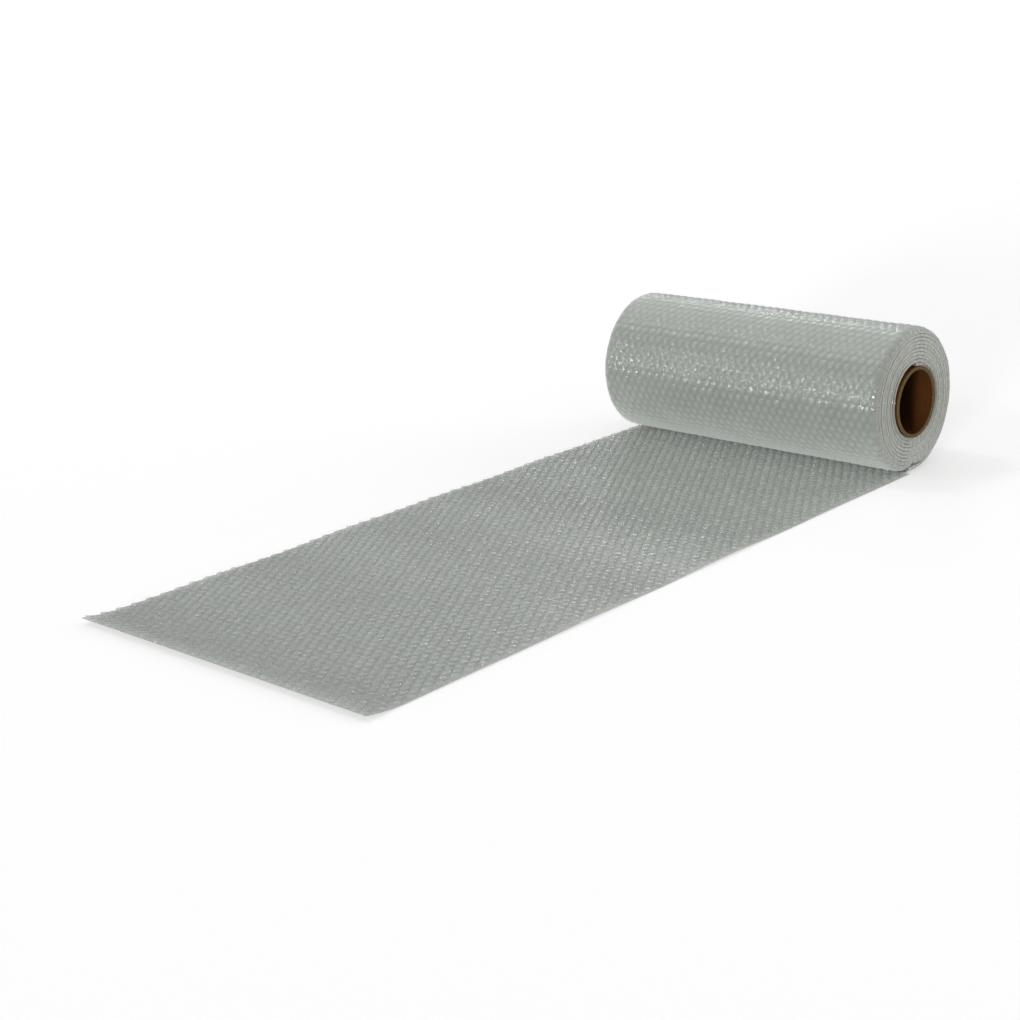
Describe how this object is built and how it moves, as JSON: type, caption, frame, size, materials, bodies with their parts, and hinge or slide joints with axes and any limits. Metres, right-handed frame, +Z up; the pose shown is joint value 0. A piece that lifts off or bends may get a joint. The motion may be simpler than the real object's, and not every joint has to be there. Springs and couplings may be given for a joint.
{
  "type": "bubble wrap roll",
  "caption": "Roll of clear bubble wrap on an open paper core, lying on its side with a flat tail of film pulled out from below, for cushioning goods in shipping.",
  "frame": {"origin": "on the resting plane, under the middle of the core's axis", "axes": "+X along the core, +Z up, the tail of film runs towards -Y"},
  "size_m": [0.404, 0.988, 0.1744],
  "materials": {
    "core_board": "spiral-wound brown paperboard, matte",
    "film": "translucent grey-green polyethylene film, glossy, with rows of air bubbles"
  },
  "bodies": {
    "root": {"core_tube": "core_board", "bubble_film": "film"}
  },
  "joints": []
}
